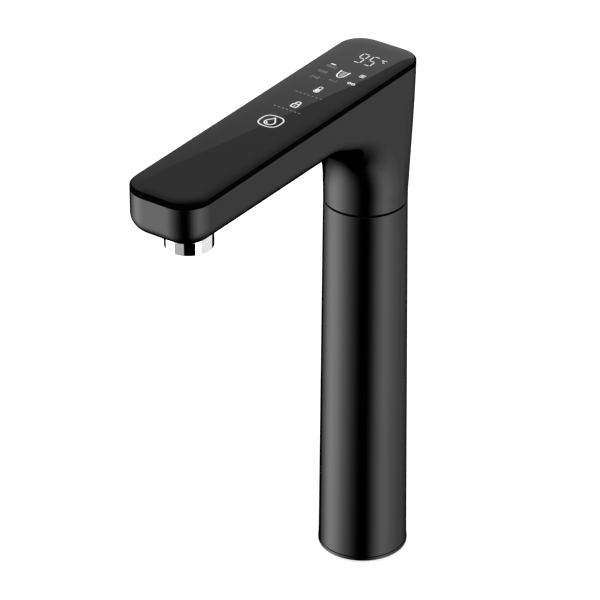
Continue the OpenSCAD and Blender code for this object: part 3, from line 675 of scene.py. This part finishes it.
def brightStrokes(form):
    icon, state, outline, level = form["icon"], form["state"], form["outline"], form["level"]
    strokes = []
    for sign, centre in form["readout"]:
        strokes += digit(sign, centre, form["digitSize"], form["digitStroke"], form["digitGap"])
    # the readout's unit, and a bar over the scale
    strokes += drawn([arcPath((0, 0), 0.5, 0, 345, 16)], "degree", form["degree"], closed=True)
    strokes += drawn([arcPath((0, 0), (0.95, 1.4), 50, 310, 16)], "unitC", form["unitC"])
    strokes += drawn([[(-1.6, 0), (1.6, 0)]], "bar", form["bar"])
    # cup with its level lines
    cup = [(-2.9, 4), (-2.2, -1.6), (-1.2, -3.2), (0, -3.7), (1.2, -3.2), (2.2, -1.6), (2.9, 4)]
    strokes += drawn([cup], "cup", icon)
    strokes += drawn([[(-1.1, y), (1.5, y)] for y in (-1.3, 0.1, 1.5)], "cup", level)
    strokes += drawn([[(-2.6, 2.9), (2.5, 2.9)]], "cup", level)
    # two small state signs
    strokes += drawn([[(-1.5, y), (1.5, y)] for y in (-1.2, 0, 1.2)], "lines", state)
    strokes += drawn([arcPath((x, 0), 0.85, 0, 345, 16) for x in (-1.2, 1.2)], "rings", state, closed=True)
    # thermometer
    strokes += drawn([[(0, -1.8), (0, 0.5)]], "thermometer", form["stem"])
    glassLine = np.concatenate([arcPath((0, 2.3), 1, 0, 180, 12), arcPath((0, -2), 1.5, 140, 400, 20)])
    strokes += drawn([glassLine], "thermometer", outline, closed=True)
    strokes += drawn([arcPath((0, -2), 0.45, 0, 330, 12)], "thermometer", form["bulb"])
    # padlock
    lock = roundedOutline([(-1.85, -1.85), (1.85, -1.85), (1.85, 1.85), (-1.85, 1.85)], [0.8] * 4)
    strokes += drawn([lock], "lock", icon, closed=True)
    shackle = np.concatenate([[(-1.25, 1.85)], arcPath((0, 3.3), 1.25, 180, 0, 14), [(1.25, 1.85)]])
    strokes += drawn([shackle], "shackle", icon)
    strokes += drawn([[(0, -1), (0, 0.4)]], "lock", outline)
    # drop in a rounded square
    half, squareness = 6.1, 2.8
    a = np.radians(np.arange(0, 360, 5))
    ray = np.column_stack([np.cos(a), np.sin(a)])
    square = half * ray / (np.abs(ray) ** squareness).sum(axis=1)[:, None] ** (1 / squareness)
    strokes += drawn([square], "drop", form["frame"], closed=True)
    drop = np.concatenate([[(0, 4)], arcPath((0, -1.1), 2.9, 25, -205, 30)])
    strokes += drawn([drop], "drop", icon, closed=True)
    strokes += drawn([arcPath((0, -1.1), 1.75, 175, 265, 12)], "drop", state)
    return strokes


def faintStrokes(form):
    strokes = []
    for number, centre in form["scale"]:
        first = centre[0] - form["smallPitch"] * (len(number) - 1) / 2
        for k, sign in enumerate(number):
            place = (first + k * form["smallPitch"], centre[1])
            strokes += digit(sign, place, form["smallSize"], form["smallStroke"], 0)
    # the unit beside the cup
    legs = [[(x, -0.8), (x, 0.8)] for x in (-2, -0.7, 0.6)]
    strokes += drawn(legs + [[(-2, 0.6), (0.2, 0.6)], [(2, -0.8), (2, 1.6)]], "volume", form["smallStroke"])
    # short dashes under the two key signs
    half = form["dashHalf"]
    for y in form["dashRows"]:
        strokes += [stroke([(x - half, y), (x + half, y)], form["state"]) for x in form["dashes"]]
    return strokes


signMesh("panelSigns", brightStrokes(signForm), brightSign)
signMesh("panelScale", faintStrokes(signForm), faintSign)
print("signs drawn")


# Finishes of the CAD nodes that stay
finishes = {
    "foot_insert": machinedBrass, "outlet_fitting": machinedBrass,
    "riser_pipe": turnedSteel, "stop_pin": turnedSteel, "neck_spigot": turnedSteel,
    "retaining_clip": turnedSteel, "spigot_screws": turnedSteel, "outlet_screws": turnedSteel,
    "board_screws": turnedSteel, "base_gasket": blackRubber, "spigot_ring": blackRubber,
    "riser_seal": blackRubber, "aerator_gasket": blackRubber,
    "swivel_bush": paleAcetal, "aerator_insert": paleAcetal, "lead_socket": paleAcetal,
    # the washer in the joint's groove and the bezel under the glass take the matt black as painted shade
    "thrust_washer": paintedShadeBlack, "panel_bezel": paintedShadeBlack,
    "water_tube": clearSilicone, "control_board": boardGreen, "display_module": blackPlastic,
    "buzzer": blackPlastic, "light_guide": whiteDiffuser, "sensor_pads": greyFoam,
}
for name, material in finishes.items():
    slots = nodes[name].data.materials
    slots.clear()
    slots.append(material)
print("finishes set on", len(finishes), "nodes")


# Studio: a white room with strip lights and dark flags round the tap, seen in its gloss
studio = {
    "panels": [             # degrees to the right of the camera, and the light in mirrors from there on
        (-180, 0.0), (-131, 4.0), (-72, 0.52), (-24, 0.0), (30, 3.0), (60, 0.98), (132, 0.0),
    ],
    "glow": [               # the same panels as a satin coat blurs them
        (-148, 0.0), (-126, 0.65), (-110, 1.95), (-97, 2.95), (-85, 3.15), (-75, 2.92), (-65, 2.28),
        (-47, 1.15), (-30, 0.36), (-18, 0.07), (-11, 0.0), (7, 0.0), (14, 0.13), (19, 0.28), (36, 1.42),
        (50, 2.2), (62, 2.06), (82, 1.25), (106, 0.57), (140, 0.12), (160, 0.0),
    ],
    "brightest": 4.0,
    "below": (-79, -22),    # degrees: black floor below, the panels above
    "horizon": (-16, -8),   # degrees: the panels below, the white room above
    "ceiling": (10, 24),    # degrees: the room fades to its grey ceiling
    "overhead": (0.31, 0.46),      # the ceiling fades to black, along the next axis
    "overheadAxis": (0.37, 0, 1),
    "ceilingLight": 0.315,
    "roomLight": 0.75,      # light of the room on matt surfaces
}


def makeWorld(form):
    world = bpy.data.worlds.new("studio")
    scene.world = world
    world.use_nodes = True
    tree = world.node_tree
    link = tree.links.new

    def math2(operation, a, b):
        node = tree.nodes.new("ShaderNodeMath")
        node.operation = operation
        for socket, value in zip(node.inputs, (a, b)):
            if isinstance(value, (int, float)):
                socket.default_value = value
            else:
                link(value, socket)
        return node.outputs[0]

    def along(direction, axis):
        node = tree.nodes.new("ShaderNodeVectorMath")
        node.operation = "DOT_PRODUCT"
        link(direction, node.inputs[0])
        node.inputs[1].default_value = axis
        return node.outputs["Value"]

    def ramp(value, low, high, start, stop):
        node = tree.nodes.new("ShaderNodeMapRange")
        node.interpolation_type = "SMOOTHSTEP"
        link(value, node.inputs["Value"])
        node.inputs["From Min"].default_value = low
        node.inputs["From Max"].default_value = high
        node.inputs["To Min"].default_value = start
        node.inputs["To Max"].default_value = stop
        return node.outputs["Result"]

    def blend(share, a, b):
        return math2("ADD", math2("MULTIPLY", math2("SUBTRACT", 1, share), a), math2("MULTIPLY", share, b))

    place = tree.nodes.new("ShaderNodeTexCoord")
    direction = place.outputs["Generated"]
    towards = (math.sin(az), -math.cos(az), 0)
    bearing = math2("ARCTAN2", along(direction, tuple(rightDir)), along(direction, towards))
    turnShare = math2("ADD", math2("DIVIDE", bearing, 2 * math.pi), 0.5)

    def lightRing(stops, interpolation):
        node = tree.nodes.new("ShaderNodeValToRGB")
        node.color_ramp.interpolation = interpolation
        elements = node.color_ramp.elements
        while len(elements) < len(stops):
            elements.new(0.5)
        for element, (degrees, light) in zip(elements, stops):
            element.position = (degrees + 180) / 360
            element.color = (*[light / form["brightest"]] * 3, 1)
        link(turnShare, node.inputs["Fac"])
        return math2("MULTIPLY", node.outputs["Color"], form["brightest"])

    def between(degrees, start, stop):
        low, high = [math.radians(d) for d in degrees]
        return ramp(height, low, high, start, stop)

    path = tree.nodes.new("ShaderNodeLightPath")
    height = math2("ARCSINE", along(direction, (0, 0, 1)), 0.0)
    panels = blend(path.outputs["Is Singular Ray"], lightRing(form["glow"], "LINEAR"),
                   lightRing(form["panels"], "CONSTANT"))
    panels = math2("MULTIPLY", panels, between(form["below"], 0, 1))
    dark = ramp(along(direction, form["overheadAxis"]), *form["overhead"], 1, 0)
    room = math2("MULTIPLY", between(form["ceiling"], 1, form["ceilingLight"]), dark)
    gloss = blend(between(form["horizon"], 0, 1), panels, room)
    shiny = math2("MAXIMUM", path.outputs["Is Glossy Ray"], path.outputs["Is Transmission Ray"])
    level = blend(path.outputs["Is Camera Ray"], blend(shiny, form["roomLight"], gloss), 1.0)
    background = tree.nodes["Background"]
    background.inputs["Color"].default_value = (1, 1, 1, 1)
    link(level, background.inputs["Strength"])


makeWorld(studio)


# Pale worktop that shows white and keeps the soft shadow under the tap
floorForm = {
    "reach": 4000,
    "z": -0.3,
    "colour": 0.8,
    "rough": 0.9,
    "lift": 0.55,           # glow that only the camera sees
}


def makeFloor(form):
    square = [(-1, -1), (1, -1), (1, 1), (-1, 1)]
    corners = [(x * form["reach"], y * form["reach"], form["z"]) for x, y in square]
    material = bpy.data.materials.new("paleFloor")
    material.use_nodes = True
    tree = material.node_tree
    shader = tree.nodes["Principled BSDF"]
    shader.inputs["Base Color"].default_value = (*grey(form["colour"]), 1)
    shader.inputs["Roughness"].default_value = form["rough"]
    shader.inputs["Specular IOR Level"].default_value = 0
    shader.inputs["Emission Color"].default_value = (*grey(form["lift"]), 1)
    path = tree.nodes.new("ShaderNodeLightPath")
    tree.links.new(path.outputs["Is Camera Ray"], shader.inputs["Emission Strength"])
    floor = meshObject("floor", corners, [[0, 1, 2, 3]], [material])
    floor.visible_glossy = False


makeFloor(floorForm)


# Softbox over the tap's back: its mirror image in the glass ends along a straight line down the panel
softbox = {
    "height": 25,           # above the glass
    "edge": [(30, 63.5), (-30, -240)],     # the image's right edge on the glass
    "reach": (0.14, 2.6),   # shares of that edge where the image starts and ends
    "width": 700,           # how far the image goes left of that edge
    "steps": 60,
    "light": (0.3, 0.95),   # at the tip's end and at the back
    "bend": 1.6,
}


def mirrored(points, form):
    # where rays from the camera to points on the glass, mirrored in it, reach the softbox
    p = np.column_stack([points, np.full(len(points), glassHigh[2])])
    ray = p - cameraAt / mm
    ray[:, 2] *= -1
    return p + ray * (form["height"] / ray[:, 2])[:, None]


def makeSoftbox(form):
    t = np.linspace(*form["reach"], form["steps"])[:, None]
    back, tip = np.array(form["edge"], dtype=float)
    right = tip + (back - tip) * t
    left = right - np.array([form["width"], 0])
    points = np.concatenate([mirrored(right, form), mirrored(left, form)])
    count = len(t)
    i = np.arange(count - 1)
    faces = np.column_stack([i, i + 1, i + 1 + count, i + count])
    material = bpy.data.materials.new("softboxCloth")
    material.use_nodes = True
    tree = material.node_tree
    tree.nodes.remove(tree.nodes["Principled BSDF"])
    shader = tree.nodes.new("ShaderNodeEmission")
    level = tree.nodes.new("ShaderNodeAttribute")
    level.attribute_name = "light"
    tree.links.new(level.outputs["Fac"], shader.inputs["Strength"])
    tree.links.new(shader.outputs[0], tree.nodes["Material Output"].inputs["Surface"])
    card = meshObject("softbox", points, faces.tolist(), [material])
    low, high = form["light"]
    light = np.tile(low + (high - low) * np.minimum(t[:, 0], 1) ** form["bend"], 2)
    card.data.attributes.new("light", "FLOAT", "POINT").data.foreach_set("value", light.astype(np.float32))
    card.visible_camera = False
    card.visible_diffuse = False
    card.visible_shadow = False


makeSoftbox(softbox)

# Soft lamp overhead, for matt surfaces only
lampForm = {
    "power": 9,
    "size": 1.2,            # metres, as the place
    "place": (-0.3, 0.2, 1.5),
    "tilt": (-8, -11, 0),   # degrees
}
lampData = bpy.data.lights.new("overhead", "AREA")
lampData.energy = lampForm["power"]
lampData.size = lampForm["size"]
lamp = bpy.data.objects.new("overhead", lampData)
lamp.location = lampForm["place"]
lamp.rotation_euler = [math.radians(d) for d in lampForm["tilt"]]
lamp.visible_glossy = False
scene.collection.objects.link(lamp)
print("studio ready")
